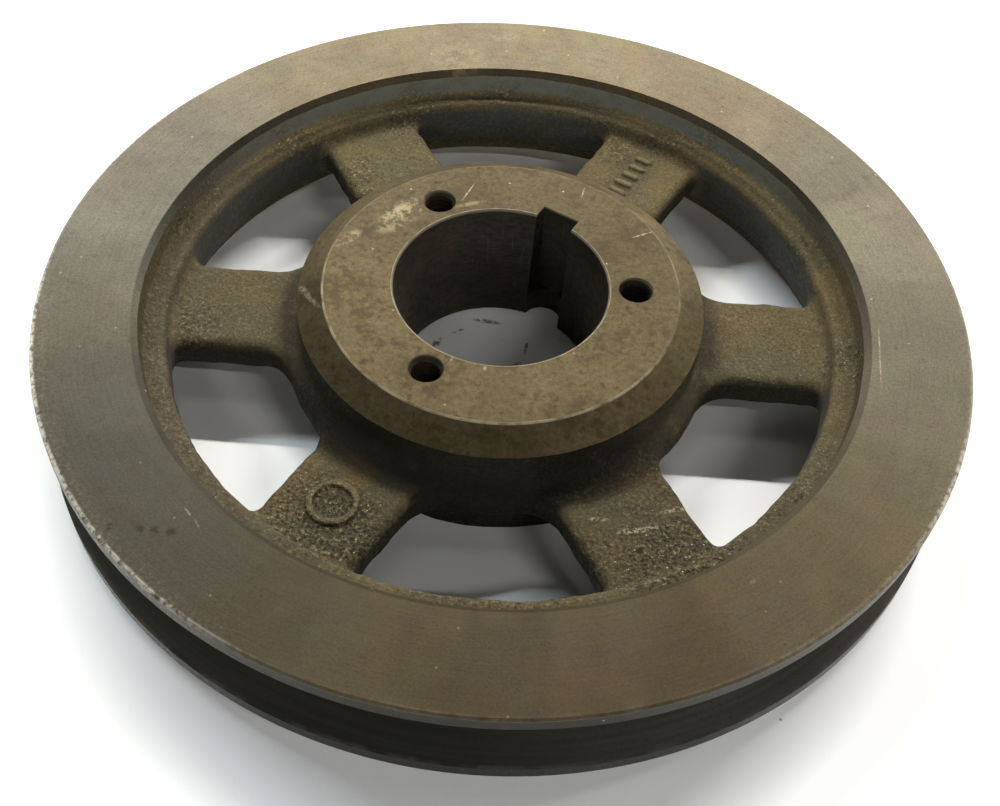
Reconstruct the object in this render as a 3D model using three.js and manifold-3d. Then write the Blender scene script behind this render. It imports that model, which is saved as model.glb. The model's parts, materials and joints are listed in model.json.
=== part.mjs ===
// A single-groove V-belt pulley (sheave) in grey cast iron: a grooved rim, a web of six flat
// spokes, and a hub bored for a split-taper bushing, with a keyway and three tapped holes.
//
// The real pulley is one casting.  Here it is divided at its natural features (flanges, rim
// band, web rings, spokes, hub sections) into solids of their own, each with a small gap to
// the next, so that every feature can be found, replaced or tested by its name.
//
// Millimetres.  +Z is the bore axis, and z = 0 is the hub's lower face, which it rests on.

import * as THREE from "three";
import { mergeVertices } from "three/addons/utils/BufferGeometryUtils.js";
import Module from "manifold-3d";

const wasm = await Module();
wasm.setup();

// ---- driving dimensions -------------------------------------------------------------------

const GAP = 0.3; // clearance between neighbouring solids
const RING_STEPS = 72; // facets round every ring
const HOLE_STEPS = 20; // facets round a tapped hole

const OUTER_R = 106.05; // 8.35 in. outside diameter
const RIM_BOTTOM = 6.4; // the hub stands this far below the rim
const RIM_WIDTH = 24.7;
const RIM_TOP = RIM_BOTTOM + RIM_WIDTH;

const GROOVE_DEPTH = 15;
const GROOVE_HALF_ANGLE = THREE.MathUtils.degToRad(19);
const LAND = 3.6; // flat left on the outside of each flange
const LAND_BREAK = 0.5; // bevel on the flanges' outer edges
const GROOVE_FLOOR_R = OUTER_R - GROOVE_DEPTH;

const RIM_FACE_INNER_R = 84.2; // inner edge of the machined side face
const RIM_FACE_CHAMFER = 1.3;
const RIM_WALL_R = 82; // inner wall of the rim, where the web joins it
const RIM_FOOT_INNER_R = 81.5; // inner wall of the rim at its lower edge

const WEB_BOTTOM = 12;
const SPOKE_TOP = 20.5;
const LEDGE_TOP = 24.2; // the web ring stands above the spokes next to the rim
const LEDGE_ROUNDING = 2.2; // rounded edge between the ledge and the window
const LEDGE_FILLET = 1.6; // where the ledge runs up into the rim's inner wall
const WEB_FILLET = 1; // where the web's underside runs down into the rim and the hub
const WINDOW_OUTER_R = 77.2;
const WINDOW_OUTER_FOOT_R = 78.2; // the window's outer wall leans outwards as it goes down
const WINDOW_INNER_R = 50.2;

const SPOKE_COUNT = 6;
const SPOKE_HALF_WIDTH = 12.8;
const SPOKE_ROUNDING = 2.4;
const RIM_CORNER_R = 5; // window corners next to the rim
const HUB_CORNER_R = 7; // window corners next to the hub
const FLARE_RISE = 3; // the flare at the hub's foot climbs this far above the spokes

const HUB_LENGTH = 33.6;
const HUB_FACE_R = 40.85;
const CONE_FOOT_R = 46.6;
const CONE_FOOT_Z = 29.75;
const NECK_R = 47.3; // hub barrel where it meets the web
const FOOT_R = 44.5; // hub barrel below the web
const FOOT_EDGE = 0.8; // bevel round the hub's lower face
const FOOT_FILLET = 1.5; // where the hub runs up into the web's underside

const BORE_TOP_R = 24.75;
const BORE_TAPER = 1 / 32; // radius per length: 3/4 in. per foot on the diameter
const BORE_CHAMFER = 0.3;
const KEYWAY_WIDTH = 9.5;
const KEYWAY_FLOOR_R = 28.2;

const BOLT_CIRCLE_R = 30.96; // 2 7/16 in. bolt circle
const TAP_R = 3.4; // 5/16-18 tapped hole
const TAP_DEPTH = 25;
const DRILL_POINT = 2; // depth of the cone at a tapped hole's end
const TAP_COUNT = 3;
const MACHINING_TURN = THREE.MathUtils.degToRad(1.5); // the bore pattern against the spokes

const MARK_HEIGHT = 0.7; // raised foundry marks on two of the spokes
const MARK_R = (WINDOW_INNER_R + WINDOW_OUTER_R) / 2; // their middle, half way along the spoke
const BAR_SPOKE = 2; // this spoke carries a row of plain bars
const BAR_COUNT = 5;
const BAR_PITCH = 3.6;
const BAR_SIZE = [1.2, 4.4]; // along and across the spoke
const RING_SPOKE = 5; // this spoke carries a plain ring
const RING_MARK_R = [4.2, 5.8];

// ---- materials ----------------------------------------------------------------------------

function material(color, roughness, metalness) {
  return new THREE.MeshStandardMaterial({ color, roughness, metalness });
}

const machinedIron = () => material(0x7d7563, 0.45, 0.6);
const castIron = () => material(0x5b5244, 0.85, 0.3);

// ---- helpers ------------------------------------------------------------------------------

// Signed volume of an indexed geometry: negative when its faces point inwards.
function signedVolume(position, index) {
  const a = new THREE.Vector3();
  const b = new THREE.Vector3();
  const c = new THREE.Vector3();
  let volume = 0;
  for (let i = 0; i < index.count; i += 3) {
    a.fromBufferAttribute(position, index.getX(i));
    b.fromBufferAttribute(position, index.getX(i + 1));
    c.fromBufferAttribute(position, index.getX(i + 2));
    volume += a.dot(b.cross(c)) / 6;
  }
  return volume;
}

// A three.js geometry as a closed manifold-3d solid with its faces pointing out.
function solidFrom(geometry) {
  geometry.deleteAttribute("normal");
  geometry.deleteAttribute("uv");
  const merged = mergeVertices(geometry, 1e-4);
  const triangles = Uint32Array.from(merged.index.array);
  if (signedVolume(merged.attributes.position, merged.index) < 0) {
    for (let i = 0; i < triangles.length; i += 3) {
      [triangles[i], triangles[i + 1]] = [triangles[i + 1], triangles[i]];
    }
  }
  const vertices = Float32Array.from(merged.attributes.position.array);
  return new wasm.Manifold(new wasm.Mesh({ numProp: 3, vertProperties: vertices, triVerts: triangles }));
}

function geometryFrom(solid) {
  const mesh = solid.getMesh();
  const geometry = new THREE.BufferGeometry();
  geometry.setAttribute("position", new THREE.BufferAttribute(mesh.vertProperties, 3));
  geometry.setIndex(new THREE.BufferAttribute(mesh.triVerts, 1));
  geometry.computeVertexNormals();
  return geometry;
}

// A ring or disc turned about +Z from [radius, z] corners, closed on itself.
function turned(corners, steps = RING_STEPS) {
  const points = corners.map(([radius, z]) => new THREE.Vector2(radius, z));
  points.push(points[0].clone());
  const geometry = new THREE.LatheGeometry(points, steps);
  geometry.rotateX(Math.PI / 2);
  return solidFrom(geometry);
}

// A flat outline raised from `low` to `high`, its edges rounded by `rounding`.
function raised(shape, low, high, rounding = 0) {
  const geometry = new THREE.ExtrudeGeometry(shape, {
    depth: high - low - 2 * rounding,
    bevelEnabled: rounding > 0,
    bevelSize: rounding,
    bevelOffset: -rounding,
    bevelThickness: rounding,
    bevelSegments: 3,
    curveSegments: 5,
  });
  geometry.translate(0, 0, low + rounding);
  return solidFrom(geometry);
}

// A rectangle `length` along X and `width` along Y, with its middle at [x, 0].
function rectangle(x, length, width) {
  const shape = new THREE.Shape();
  shape.moveTo(x - length / 2, -width / 2);
  shape.lineTo(x + length / 2, -width / 2);
  shape.lineTo(x + length / 2, width / 2);
  shape.lineTo(x - length / 2, width / 2);
  shape.closePath();
  return shape;
}

const degrees = (radians) => THREE.MathUtils.radToDeg(radians);

const pulley = new THREE.Group();

function addPart(name, solid, finish) {
  const mesh = new THREE.Mesh(geometryFrom(solid), finish);
  mesh.name = name;
  pulley.add(mesh);
}

// ---- rim ----------------------------------------------------------------------------------

// Radial run of the groove wall turned into its rise along Z.
const grooveRise = (radial) => radial * Math.tan(GROOVE_HALF_ANGLE);

// A flange stands out from the rim band: a flat side face, a land, and the groove's wall.
// `face` is the z of its flat side, and `inward` is -1 for the upper flange, +1 for the lower.
function flange(face, inward) {
  const root = GROOVE_FLOOR_R + GAP / 2;
  const rootThickness = LAND + grooveRise(OUTER_R - root);
  return turned([
    [root, face],
    [OUTER_R - LAND_BREAK, face],
    [OUTER_R, face + inward * LAND_BREAK],
    [OUTER_R, face + inward * LAND],
    [root, face + inward * rootThickness],
  ]);
}

// The band under the groove carries both flanges and the web.
function rimBand() {
  const outer = GROOVE_FLOOR_R - GAP / 2;
  return turned([
    [RIM_FOOT_INNER_R, RIM_BOTTOM],
    [outer, RIM_BOTTOM],
    [outer, RIM_TOP],
    [RIM_FACE_INNER_R, RIM_TOP],
    [RIM_FACE_INNER_R - RIM_FACE_CHAMFER, RIM_TOP - RIM_FACE_CHAMFER],
    [RIM_WALL_R, LEDGE_TOP + LEDGE_FILLET],
    [RIM_WALL_R, WEB_BOTTOM - WEB_FILLET],
  ]);
}

// ---- web ----------------------------------------------------------------------------------

// The raised ledge inside the rim that the spokes run into.
function webOuterRing() {
  const outer = RIM_WALL_R - GAP;
  const shoulder = LEDGE_ROUNDING * 0.3; // the rounded edge's middle, from either face
  return turned([
    [outer, WEB_BOTTOM - WEB_FILLET],
    [outer, LEDGE_TOP + LEDGE_FILLET],
    [outer - LEDGE_FILLET, LEDGE_TOP + GAP],
    [WINDOW_OUTER_R + LEDGE_ROUNDING, LEDGE_TOP],
    [WINDOW_OUTER_R + shoulder, LEDGE_TOP - shoulder],
    [WINDOW_OUTER_R, LEDGE_TOP - LEDGE_ROUNDING],
    [WINDOW_OUTER_FOOT_R, WEB_BOTTOM],
  ]);
}

// The flare at the foot of the hub that the spokes grow out of.
function webInnerRing() {
  const inner = NECK_R + GAP;
  return turned([
    [inner, WEB_BOTTOM - WEB_FILLET],
    [WINDOW_INNER_R, WEB_BOTTOM],
    [WINDOW_INNER_R, SPOKE_TOP - SPOKE_ROUNDING],
    [inner + WEB_FILLET, SPOKE_TOP + GAP],
    [inner, SPOKE_TOP + FLARE_RISE],
  ]);
}

// Outline of a spoke along +X: straight flanks that sweep into both web rings by the
// window's corner arcs.  It runs on past both rings, and is then cut back to them.
function spokeOutline() {
  const rimY = SPOKE_HALF_WIDTH + RIM_CORNER_R;
  const rimX = Math.sqrt((WINDOW_OUTER_R - RIM_CORNER_R) ** 2 - rimY ** 2);
  const hubY = SPOKE_HALF_WIDTH + HUB_CORNER_R;
  const hubX = Math.sqrt((WINDOW_INNER_R + HUB_CORNER_R) ** 2 - hubY ** 2);
  const rimAngle = Math.atan2(rimY, rimX);
  const hubAngle = Math.atan2(hubY, hubX);
  const outside = RIM_WALL_R;
  const inside = FOOT_R;
  const shape = new THREE.Shape();
  shape.moveTo(outside * Math.cos(rimAngle), -outside * Math.sin(rimAngle));
  shape.lineTo(outside * Math.cos(rimAngle), outside * Math.sin(rimAngle));
  shape.absarc(rimX, rimY, RIM_CORNER_R, rimAngle, -Math.PI / 2, true);
  shape.absarc(hubX, hubY, HUB_CORNER_R, -Math.PI / 2, hubAngle - Math.PI, true);
  shape.lineTo(inside * Math.cos(hubAngle), inside * Math.sin(hubAngle));
  shape.lineTo(inside * Math.cos(hubAngle), -inside * Math.sin(hubAngle));
  shape.absarc(hubX, -hubY, HUB_CORNER_R, Math.PI - hubAngle, Math.PI / 2, true);
  shape.absarc(rimX, -rimY, RIM_CORNER_R, Math.PI / 2, -rimAngle, true);
  return shape;
}

// The space between the two web rings that a spoke may fill.
function spokeSpace() {
  return turned([
    [WINDOW_INNER_R + GAP, 0],
    [WINDOW_OUTER_R - GAP, 0],
    [WINDOW_OUTER_R - GAP, HUB_LENGTH],
    [WINDOW_INNER_R + GAP, HUB_LENGTH],
  ]);
}

// A plain raised ring, cast on one spoke.
function ringMark() {
  const [inner, outer] = RING_MARK_R;
  const low = WEB_BOTTOM + 1;
  const top = SPOKE_TOP + MARK_HEIGHT;
  return turned([[inner, low], [outer, low], [outer, top], [inner, top]]).translate([MARK_R, 0, 0]);
}

// A row of plain raised bars, cast on another spoke.
function barRow() {
  let row = null;
  for (let i = 0; i < BAR_COUNT; i += 1) {
    const x = MARK_R + (i - (BAR_COUNT - 1) / 2) * BAR_PITCH;
    const bar = raised(rectangle(x, ...BAR_SIZE), WEB_BOTTOM + 1, SPOKE_TOP + MARK_HEIGHT);
    row = row ? row.add(bar) : bar;
  }
  return row;
}

function spoke(number) {
  let solid = raised(spokeOutline(), WEB_BOTTOM, SPOKE_TOP, SPOKE_ROUNDING).intersect(spokeSpace());
  if (number === BAR_SPOKE) {
    solid = solid.add(barRow());
  }
  if (number === RING_SPOKE) {
    solid = solid.add(ringMark());
  }
  return solid.rotate([0, 0, ((number - 1) * 360) / SPOKE_COUNT]);
}

// ---- hub ----------------------------------------------------------------------------------

// One tapped hole about the Z axis, run up to `top`, well clear of the hub's face.
function tappedHole(top) {
  const end = HUB_LENGTH - TAP_DEPTH;
  return turned([
    [0, end],
    [TAP_R, end + DRILL_POINT],
    [TAP_R, top],
    [0, top],
  ], HOLE_STEPS);
}

// Everything that is bored, slotted or tapped out of the hub, as one cutting solid.
function hubCuts() {
  const past = 1;
  const radiusAt = (z) => BORE_TOP_R - (HUB_LENGTH - z) * BORE_TAPER;
  let cuts = turned([
    [0, -past],
    [radiusAt(-past), -past],
    [radiusAt(HUB_LENGTH - BORE_CHAMFER), HUB_LENGTH - BORE_CHAMFER],
    [BORE_TOP_R + BORE_CHAMFER, HUB_LENGTH],
    [BORE_TOP_R + BORE_CHAMFER, HUB_LENGTH + past],
    [0, HUB_LENGTH + past],
  ]);
  const slot = rectangle(KEYWAY_FLOOR_R / 2, KEYWAY_FLOOR_R, KEYWAY_WIDTH);
  cuts = cuts.add(raised(slot, -past, HUB_LENGTH + past).rotate([0, 0, 360 / SPOKE_COUNT]));
  for (let i = 0; i < TAP_COUNT; i += 1) {
    const turn = (i * 360) / TAP_COUNT;
    cuts = cuts.add(tappedHole(HUB_LENGTH + past).translate([BOLT_CIRCLE_R, 0, 0]).rotate([0, 0, turn]));
  }
  return cuts.rotate([0, 0, degrees(MACHINING_TURN)]);
}

// The machined end of the hub: a flat face for the bushing's flange, and a turned cone.
function hubNose(cuts) {
  const disc = turned([
    [0, CONE_FOOT_Z],
    [CONE_FOOT_R, CONE_FOOT_Z],
    [HUB_FACE_R, HUB_LENGTH],
    [0, HUB_LENGTH],
  ]);
  return disc.subtract(cuts);
}

// The hub between the cone and the underside of the web.
function hubBarrel(cuts) {
  const low = WEB_BOTTOM - WEB_FILLET;
  const barrel = turned([
    [0, low],
    [NECK_R, low],
    [NECK_R, SPOKE_TOP + FLARE_RISE],
    [CONE_FOOT_R, CONE_FOOT_Z - GAP],
    [0, CONE_FOOT_Z - GAP],
  ]);
  return barrel.subtract(cuts);
}

// The hub below the web, which the pulley stands on when it lies on a bench.
function hubFoot(cuts) {
  const top = WEB_BOTTOM - WEB_FILLET - GAP;
  const foot = turned([
    [0, 0],
    [FOOT_R - FOOT_EDGE, 0],
    [FOOT_R, FOOT_EDGE],
    [FOOT_R, top - FOOT_FILLET],
    [FOOT_R + FOOT_FILLET, top],
    [0, top],
  ]);
  return foot.subtract(cuts);
}

// ---- the pulley ---------------------------------------------------------------------------

addPart("rim_upper_flange", flange(RIM_TOP, -1), machinedIron());
addPart("rim_band", rimBand(), castIron());
addPart("rim_lower_flange", flange(RIM_BOTTOM, 1), machinedIron());
addPart("web_outer_ring", webOuterRing(), castIron());
for (let number = 1; number <= SPOKE_COUNT; number += 1) {
  addPart(`spoke_${number}`, spoke(number), castIron());
}
addPart("web_inner_ring", webInnerRing(), castIron());

const cuts = hubCuts();
addPart("hub_nose", hubNose(cuts), machinedIron());
addPart("hub_barrel", hubBarrel(cuts), castIron());
addPart("hub_foot", hubFoot(cuts), castIron());

export default pulley;
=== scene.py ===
"""A single-groove V-belt pulley in grey cast iron, made the way the real one is.

1. A sand casting: a distance field of the blank (rim, ledge, spokes, hub, raised foundry
   marks) with fillets and the unevenness of a sand mould, turned into a mesh.
2. Machining: the rim, the groove, the hub's face, cone and foot, the bore, the keyway and the
   tapped holes are cut out of that blank with turned and threaded cutters.
3. The finished casting is divided at the same places as the CAD nodes, one piece for each.

Lengths are in millimetres until a mesh is finished, then metres.  z = 0 is the hub's foot.
"""

import json
import math

import bmesh
import bpy
import numpy as np
from mathutils import Matrix, Vector

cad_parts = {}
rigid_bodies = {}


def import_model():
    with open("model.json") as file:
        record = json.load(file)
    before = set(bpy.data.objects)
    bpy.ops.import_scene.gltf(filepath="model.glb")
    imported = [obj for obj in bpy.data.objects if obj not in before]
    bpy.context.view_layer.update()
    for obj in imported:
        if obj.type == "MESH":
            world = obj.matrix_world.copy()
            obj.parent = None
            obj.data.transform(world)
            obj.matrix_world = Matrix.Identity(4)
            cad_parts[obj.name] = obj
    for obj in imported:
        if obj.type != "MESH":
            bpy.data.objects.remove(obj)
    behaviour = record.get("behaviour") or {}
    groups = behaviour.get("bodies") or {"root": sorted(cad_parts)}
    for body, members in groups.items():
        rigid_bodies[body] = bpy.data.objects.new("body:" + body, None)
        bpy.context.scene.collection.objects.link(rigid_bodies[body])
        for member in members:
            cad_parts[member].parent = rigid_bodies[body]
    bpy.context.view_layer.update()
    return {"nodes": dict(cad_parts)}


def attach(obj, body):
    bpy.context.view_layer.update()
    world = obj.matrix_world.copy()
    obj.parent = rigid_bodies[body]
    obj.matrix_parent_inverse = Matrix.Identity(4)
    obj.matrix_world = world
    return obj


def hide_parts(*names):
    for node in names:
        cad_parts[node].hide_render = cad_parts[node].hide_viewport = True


# ---- dimensions of the pulley ----
# The CAD's, but for the rim's wall, the windows' lean, the neck and the threads.

OUTER_R = 106.05
RIM_BOTTOM = 6.4
RIM_TOP = 31.1
GROOVE_MIDDLE = (RIM_BOTTOM + RIM_TOP) / 2
GROOVE_DEPTH = 15.0
GROOVE_FLOOR_R = OUTER_R - GROOVE_DEPTH
GROOVE_SLOPE = math.tan(math.radians(19))
LAND = 3.6
LAND_BREAK = 0.5
RIM_FACE_INNER_R = 84.2
RIM_FACE_CHAMFER = 1.3
RIM_WALL_R = 82.4
RIM_WALL_DRAFT = 0.06
RIM_FOOT_INNER_R = 81.5

WEB_BOTTOM = 12.0
SPOKE_TOP = 20.5
LEDGE_TOP = 24.2
WINDOW_OUTER_R = 77.2
WINDOW_LEAN = 0.1
WINDOW_INNER_R = 50.2
SPOKE_HALF_WIDTH = 12.8
SPOKE_COUNT = 6

HUB_LENGTH = 33.6
HUB_FACE_R = 40.85
CONE_FOOT_R = 46.6
CONE_FOOT_Z = 29.75
NECK_R = 46.9
FOOT_R = 44.5
BORE_TOP_R = 24.75
BORE_TAPER = 1 / 32
KEYWAY_WIDTH = 9.5
KEYWAY_FLOOR_R = 28.2
KEYWAY_AZIMUTH = math.radians(60)
KEYWAY_EXIT = 7.0  # below this height its outer corners are round
BOLT_CIRCLE_R = 30.96
TAP_DEPTH = 25.0
TAP_COUNT = 3
THREAD_INNER_R = 3.3
THREAD_OUTER_R = 3.95
THREAD_PITCH = 25.4 / 18
MACHINING_TURN = math.radians(1.5)  # the bore pattern against the spokes

# ---- the raw casting's roundings, fillets and marks ----

WINDOW_RIM_CORNER_R = 5.0
WINDOW_HUB_CORNER_R = 6.2
WEB_ROUNDING = 2.4
LEDGE_ROUNDING = 1.5
LEDGE_FILLET = 3.0  # from the spokes up to the ledge
RIM_FILLET = 1.3  # from the ledge up to the rim's inner wall
NECK_FILLET = 3.6
FOOT_FILLET = 2.6

MARK_HEIGHT = 0.9
MARK_ROOT = 2.0  # how far the marks reach down into their spoke
MARK_ROUNDING = 0.3
MARK_FILLET = 0.35
MARK_R = (WINDOW_INNER_R + WINDOW_OUTER_R) / 2
MARK_X, MARK_Y = 31.85, 55.2  # middle of the mark on spoke 2; the one on spoke 5 is opposite
BAR_SPOKE = 2
BAR_COUNT = 5
BAR_PITCH = 3.6
BAR_HALF_WIDTH = 0.7
BAR_HALF_LENGTH = 2.3
BAR_CORNER_R = 0.6
RING_SPOKE = 5
RING_R = 5.0
RING_HALF_WIDTH = 0.8

MOULD_LUMPS = ((9.0, 0.09), (3.2, 0.075), (1.5, 0.07))  # how far apart, and how high

# ---- where the casting is divided into pieces ----

FLANGE_SPLIT_R = GROOVE_FLOOR_R + 0.3
BAND_SPLIT_R = 81.85
LEDGE_SPLIT_R = 76.3
FLARE_SPLIT_R = 51.2
HUB_SPLIT_R = 48.2
NOSE_SPLIT_Z = 29.6
FOOT_SPLIT_Z = 10.85

# ---- how it is made ----

CELL = 0.55  # grid of the casting's field
STOCK = 2.0  # extra metal that machining takes off
MARGIN = 2.0  # empty space round the blank in the field's grid
CLEAR = 10.0  # how far a cutter goes on past the metal
CLEAR_ABOVE = CLEAR_BELOW = 5.0
WELD = 0.001  # corners closer than this are one corner
TURN_STEPS = 360
TAP_STEPS = 48
SHARP_BEND = math.radians(28)  # machined corners that bend more than this are sharp
SEED = 7

PAPER_WHITE = 0.87  # how much light the sheet under it gives back
CEILING = 1.8  # height of the workshop's ceiling lamps, in metres

CAST, TURNED, GROOVE, BORE = range(4)  # material slots that every piece shares
MM = 0.001


# ---- distance fields ----

def fillet_union(a, b, radius):
    """Two solids joined, with a fillet of that radius in the corner between them."""
    u = np.maximum(radius - a, 0)
    v = np.maximum(radius - b, 0)
    return np.maximum(radius, np.minimum(a, b)) - np.hypot(u, v)


def round_overlap(a, b, radius):
    """What two solids share, with the edge between them rounded to that radius."""
    u = np.maximum(radius + a, 0)
    v = np.maximum(radius + b, 0)
    return np.minimum(-radius, np.maximum(a, b)) + np.hypot(u, v)


def slab(x, low, high):
    return np.abs(x - (low + high) / 2) - (high - low) / 2


def sand_noise(axes, pitch, rng):
    """Smooth random lumps about that far apart, with a spread of 1."""
    weights = []
    for axis in axes:
        position = (axis - axis[0]) / pitch
        base = np.floor(position).astype(int)
        t = position - base
        row = np.arange(len(axis))
        weight = np.zeros((len(axis), base[-1] + 4), np.float32)
        weight[row, base] = (1 - t) ** 3 / 6
        weight[row, base + 1] = (3 * t**3 - 6 * t**2 + 4) / 6
        weight[row, base + 2] = (-3 * t**3 + 3 * t**2 + 3 * t + 1) / 6
        weight[row, base + 3] = t**3 / 6
        weights.append(weight)
    counts = [w.shape[1] for w in weights]
    lattice = rng.standard_normal(counts).astype(np.float32)
    lumps = weights[0] @ lattice.reshape(counts[0], -1)
    lumps = lumps.reshape(len(axes[0]), counts[1], counts[2])
    lumps = (weights[1] @ lumps) @ weights[2].T
    return lumps / lumps.std()


def spoke_frame(x, y, number):
    """Coordinates along and across a spoke; spoke 1 lies on +X."""
    angle = (number - 1) * 2 * math.pi / SPOKE_COUNT
    along = x * math.cos(angle) + y * math.sin(angle)
    across = y * math.cos(angle) - x * math.sin(angle)
    return along, across


def foundry_marks(x, y, z):
    """Plain raised marks: a row of bars on spoke 2, and a ring on spoke 5."""
    height = slab(z, SPOKE_TOP - MARK_ROOT, SPOKE_TOP + MARK_HEIGHT)
    along, across = spoke_frame(x, y, BAR_SPOKE)
    length = slab(across, -BAR_HALF_LENGTH, BAR_HALF_LENGTH)
    marks = None
    for i in range(BAR_COUNT):
        bar_x = MARK_R + (i - BAR_COUNT // 2) * BAR_PITCH
        width = slab(along, bar_x - BAR_HALF_WIDTH, bar_x + BAR_HALF_WIDTH)
        bar = round_overlap(round_overlap(width, length, BAR_CORNER_R), height, MARK_ROUNDING)
        marks = bar if marks is None else np.minimum(marks, bar)
    along, across = spoke_frame(x, y, RING_SPOKE)
    ring = np.abs(np.hypot(along - MARK_R, across) - RING_R) - RING_HALF_WIDTH
    return np.minimum(marks, round_overlap(ring, height, MARK_ROUNDING))


def casting_field(axes):
    """Distance to the skin of the raw casting, negative inside."""
    x = axes[0][:, None, None]
    y = axes[1][None, :, None]
    z = axes[2][None, None, :]
    radius = np.hypot(x, y)

    spokes = None
    for number in range(1, SPOKE_COUNT // 2 + 1):
        across = np.abs(spoke_frame(x, y, number)[1]) - SPOKE_HALF_WIDTH
        spokes = across if spokes is None else np.minimum(spokes, across)

    lean = (LEDGE_TOP - z) * WINDOW_LEAN
    ledge_wall = WINDOW_OUTER_R + lean - radius
    plan = fillet_union(spokes, ledge_wall, WINDOW_RIM_CORNER_R)
    plan = fillet_union(plan, radius - WINDOW_INNER_R, WINDOW_HUB_CORNER_R)
    web = round_overlap(plan, slab(z, WEB_BOTTOM, SPOKE_TOP), WEB_ROUNDING)
    ledge = round_overlap(ledge_wall, slab(z, WEB_BOTTOM, LEDGE_TOP), LEDGE_ROUNDING)
    body = fillet_union(web, ledge, LEDGE_FILLET)
    body = np.maximum(body, radius - OUTER_R)

    wall_r = RIM_WALL_R + (z - LEDGE_TOP) * RIM_WALL_DRAFT
    rim = np.maximum(wall_r - radius, slab(z, RIM_BOTTOM - STOCK, RIM_TOP + STOCK))
    rim = np.maximum(rim, radius - OUTER_R - STOCK)
    body = fillet_union(body, rim, RIM_FILLET)

    hub_top = np.maximum(radius - NECK_R, slab(z, WEB_BOTTOM, HUB_LENGTH + STOCK))
    hub_foot = np.maximum(radius - FOOT_R, slab(z, -STOCK, WEB_BOTTOM + 1))
    body = fillet_union(body, hub_top, NECK_FILLET)
    body = fillet_union(body, hub_foot, FOOT_FILLET)
    return fillet_union(body, foundry_marks(x, y, z), MARK_FILLET)


def mould_share(x, y):
    """How much of the mould's unevenness shows: less beside machined metal and by the marks."""
    neck_width, wall_width, mark_reach = 2.5, 2.0, 9.0
    turning_loss, mark_loss, most_loss = 0.75, 0.4, 0.75
    radius = np.hypot(x, y)
    near_neck = np.exp(-((radius - NECK_R) / neck_width) ** 2)
    near_wall = np.exp(-((radius - RIM_WALL_R) / wall_width) ** 2)
    from_mark = np.minimum(np.hypot(x - MARK_X, y - MARK_Y), np.hypot(x + MARK_X, y + MARK_Y))
    near_mark = np.exp(-(from_mark / mark_reach) ** 4)
    loss = turning_loss * (near_neck + near_wall) + mark_loss * near_mark
    return 1 - np.minimum(loss, most_loss)


def sand_casting():
    """The raw casting as a closed mesh, with the unevenness of its mould."""
    reach = OUTER_R + STOCK + MARGIN
    across = np.arange(-reach, reach, CELL, dtype=np.float32)
    upright = np.arange(-STOCK - MARGIN, HUB_LENGTH + STOCK + MARGIN, CELL, dtype=np.float32)
    axes = (across, across, upright)
    field = casting_field(axes)
    share = mould_share(across[:, None, None], across[None, :, None])
    rng = np.random.default_rng(SEED)
    for pitch, height in MOULD_LUMPS:
        field += height * share * sand_noise(axes, pitch, rng)
    vertices, quads = surface_net(field)
    origin = np.array([axis[0] for axis in axes])
    return mesh_object("casting", origin + vertices * CELL, quads, CAST)


def surface_net(field):
    """The field's zero surface as one vertex for each cell it passes through, and quads."""
    inside = field < 0
    step = np.array([field.shape[1] * field.shape[2], field.shape[2], 1])
    points, cells = [], []
    for axis in range(3):
        first = [slice(None)] * 3
        second = [slice(None)] * 3
        first[axis] = slice(None, -1)
        second[axis] = slice(1, None)
        corner = np.argwhere(inside[tuple(first)] != inside[tuple(second)])
        flat = corner @ step
        near = field.ravel()[flat]
        far = field.ravel()[flat + step[axis]]
        point = corner.astype(float)
        point[:, axis] += near / (near - far)
        u, v = step[(axis + 1) % 3], step[(axis + 2) % 3]
        ring = np.stack([flat, flat - u, flat - u - v, flat - v], axis=1)
        ring[near > 0] = ring[near > 0][:, ::-1]
        points.append(point)
        cells.append(ring)
    points = np.concatenate(points)
    cells = np.concatenate(cells)
    _, index = np.unique(cells.ravel(), return_inverse=True)
    count = np.bincount(index)
    spread = np.repeat(points, 4, axis=0)
    vertices = np.stack([np.bincount(index, spread[:, i]) / count for i in range(3)], axis=1)
    return vertices, index.reshape(-1, 4)


# ---- meshes ----

def new_object(name, data):
    obj = bpy.data.objects.new(name, data)
    bpy.context.scene.collection.objects.link(obj)
    return obj


def mesh_object(name, vertices, faces, slot):
    """An object with these vertices, whose faces (an array or a list) all use one material."""
    mesh = bpy.data.meshes.new(name)
    if isinstance(faces, np.ndarray):
        mesh.vertices.add(len(vertices))
        mesh.vertices.foreach_set("co", np.asarray(vertices, np.float32).ravel())
        mesh.loops.add(faces.size)
        mesh.loops.foreach_set("vertex_index", faces.astype(np.int32).ravel())
        mesh.polygons.add(len(faces))
        mesh.polygons.foreach_set("loop_start", np.arange(0, faces.size, faces.shape[1], dtype=np.int32))
        mesh.update(calc_edges=True)
    else:
        mesh.from_pydata([tuple(v) for v in vertices], [], faces)
    for material in MATERIALS:
        mesh.materials.append(material)
    mesh.polygons.foreach_set("material_index", np.full(len(mesh.polygons), slot, np.int32))
    return new_object(name, mesh)


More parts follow.
